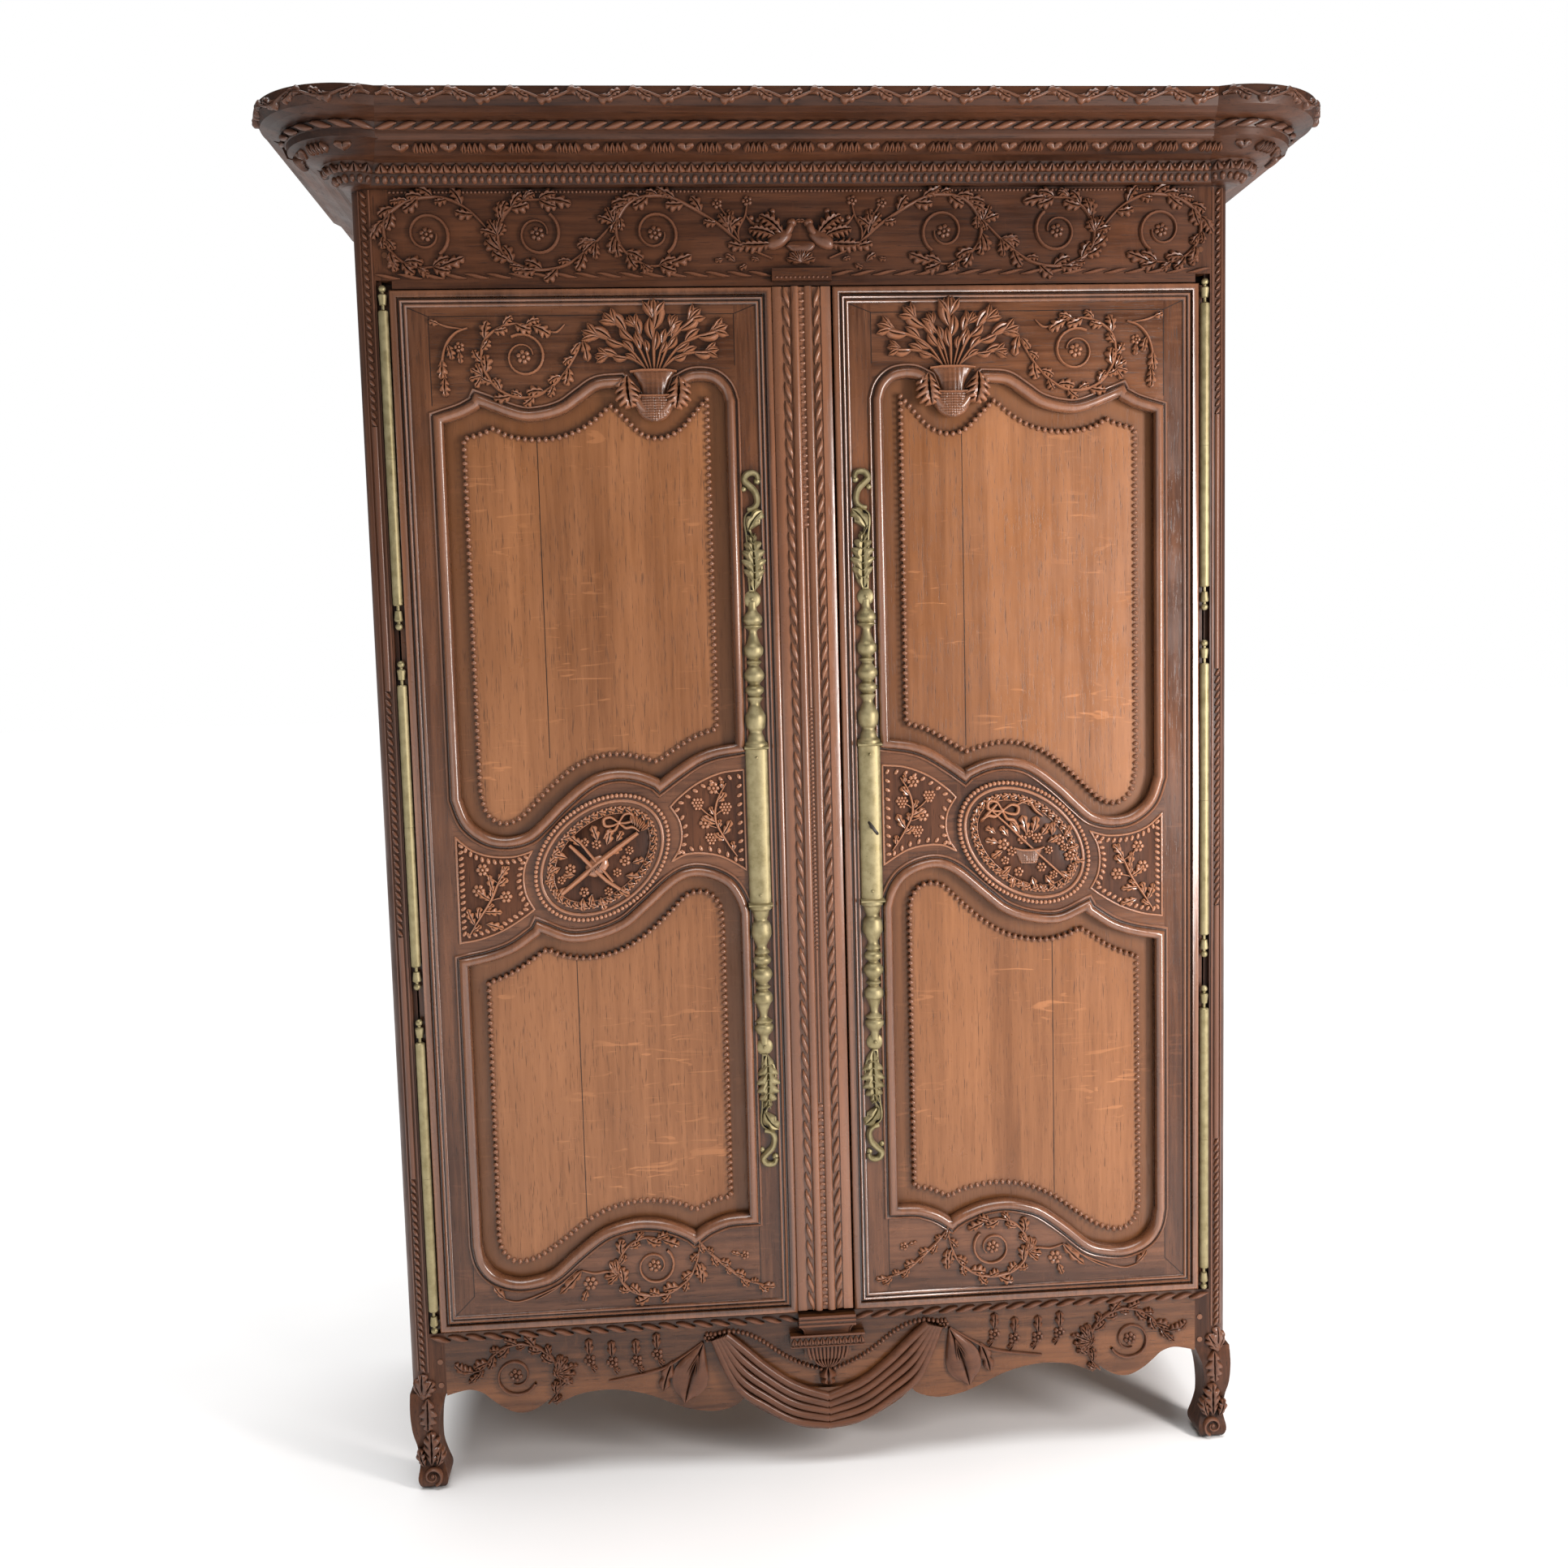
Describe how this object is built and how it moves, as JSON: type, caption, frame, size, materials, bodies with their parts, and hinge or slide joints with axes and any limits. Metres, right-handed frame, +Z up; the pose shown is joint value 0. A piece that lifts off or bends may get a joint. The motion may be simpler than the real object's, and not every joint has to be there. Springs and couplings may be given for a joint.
{
  "type": "armoire",
  "caption": "Tall two-door armoire with carved panelled doors, round-cornered cornice, long barrel hinges, keyplates, shelves and scroll feet.",
  "frame": {"origin": "on the floor, under the middle of the whole piece", "axes": "+Z up, front with the doors towards -Y, +X to the right seen from the front"},
  "size_m": [1.76, 0.65, 2.35],
  "materials": {
    "dark_oak": "waxed, dark reddish brown",
    "frame_oak": "waxed, mid brown",
    "panel_oak": "waxed, warm orange brown",
    "inner_oak": "dry, unwaxed",
    "brass": "aged, satin",
    "iron": "dull, dark",
    "steel": "worn"
  },
  "bodies": {
    "case": {"cornice_front": "dark_oak", "cornice_corner_left": "dark_oak", "cornice_corner_right": "dark_oak", "cornice_side_left": "dark_oak", "cornice_side_right": "dark_oak", "top_boards": "inner_oak", "frieze_rail": "dark_oak", "apron_rail": "frame_oak", "front_post_left": "frame_oak", "front_post_right": "frame_oak", "rear_post_left": "frame_oak", "rear_post_right": "frame_oak", "side_top_rail_left": "frame_oak", "side_middle_rail_left": "frame_oak", "side_bottom_rail_left": "frame_oak", "side_upper_panel_left": "panel_oak", "side_lower_panel_left": "panel_oak", "side_top_rail_right": "frame_oak", "side_middle_rail_right": "frame_oak", "side_bottom_rail_right": "frame_oak", "side_upper_panel_right": "panel_oak", "side_lower_panel_right": "panel_oak", "back_top_rail": "inner_oak", "back_bottom_rail": "inner_oak", "back_boards": "inner_oak", "floor_boards": "inner_oak", "lower_shelf": "inner_oak", "upper_shelf": "inner_oak", "shelf_bearers": "inner_oak", "frame_pegs": "frame_oak", "hinge_lower_halves": "brass", "hinge_pins": "steel"},
    "left_door": {"left_hinge_stile": "frame_oak", "left_meeting_stile": "frame_oak", "left_top_rail": "frame_oak", "left_middle_rail": "frame_oak", "left_bottom_rail": "frame_oak", "left_upper_panel": "panel_oak", "left_lower_panel": "panel_oak", "left_keyplate": "brass", "left_keyplate_nails": "brass", "left_hinge_upper_halves": "brass", "false_stile": "frame_oak", "bolt_guides": "iron", "lock_strike": "iron"},
    "right_door": {"right_hinge_stile": "frame_oak", "right_meeting_stile": "frame_oak", "right_top_rail": "frame_oak", "right_middle_rail": "frame_oak", "right_bottom_rail": "frame_oak", "right_upper_panel": "panel_oak", "right_lower_panel": "panel_oak", "right_keyplate": "brass", "right_keyplate_nails": "brass", "right_hinge_upper_halves": "brass", "lock_case": "iron"},
    "top_bolt": {"left_top_bolt": "iron"},
    "bottom_bolt": {"left_bottom_bolt": "iron"},
    "lock_bolt": {"lock_bolt": "steel"},
    "key": {"key": "iron"}
  },
  "joints": [
    {"name": "left_door_hinge", "type": "hinge", "parent": "case", "child": "left_door", "pos_m": [-0.694, -0.18, 1.182], "axis": [0, 0, -1], "range_deg": [0, 165]},
    {"name": "right_door_hinge", "type": "hinge", "parent": "case", "child": "right_door", "pos_m": [0.694, -0.18, 1.182], "axis": [0, 0, 1], "range_deg": [0, 165]},
    {"name": "top_bolt_slide", "type": "slide", "parent": "left_door", "child": "top_bolt", "axis": [0, 0, 1], "range_m": [0, 0.022]},
    {"name": "bottom_bolt_slide", "type": "slide", "parent": "left_door", "child": "bottom_bolt", "axis": [0, 0, -1], "range_m": [0, 0.019]},
    {"name": "key_turn", "type": "hinge", "parent": "right_door", "child": "key", "pos_m": [0.098, -0.178, 1.157], "axis": [0, 1, 0], "range_deg": [0, 180]},
    {"name": "lock_bolt_slide", "type": "slide", "parent": "right_door", "child": "lock_bolt", "axis": [-1, 0, 0], "range_m": [0, 0.012]}
  ],
  "couplings": [
    {"joint": "key_turn", "follows": "lock_bolt_slide", "rad_per_m": 261.7}
  ]
}
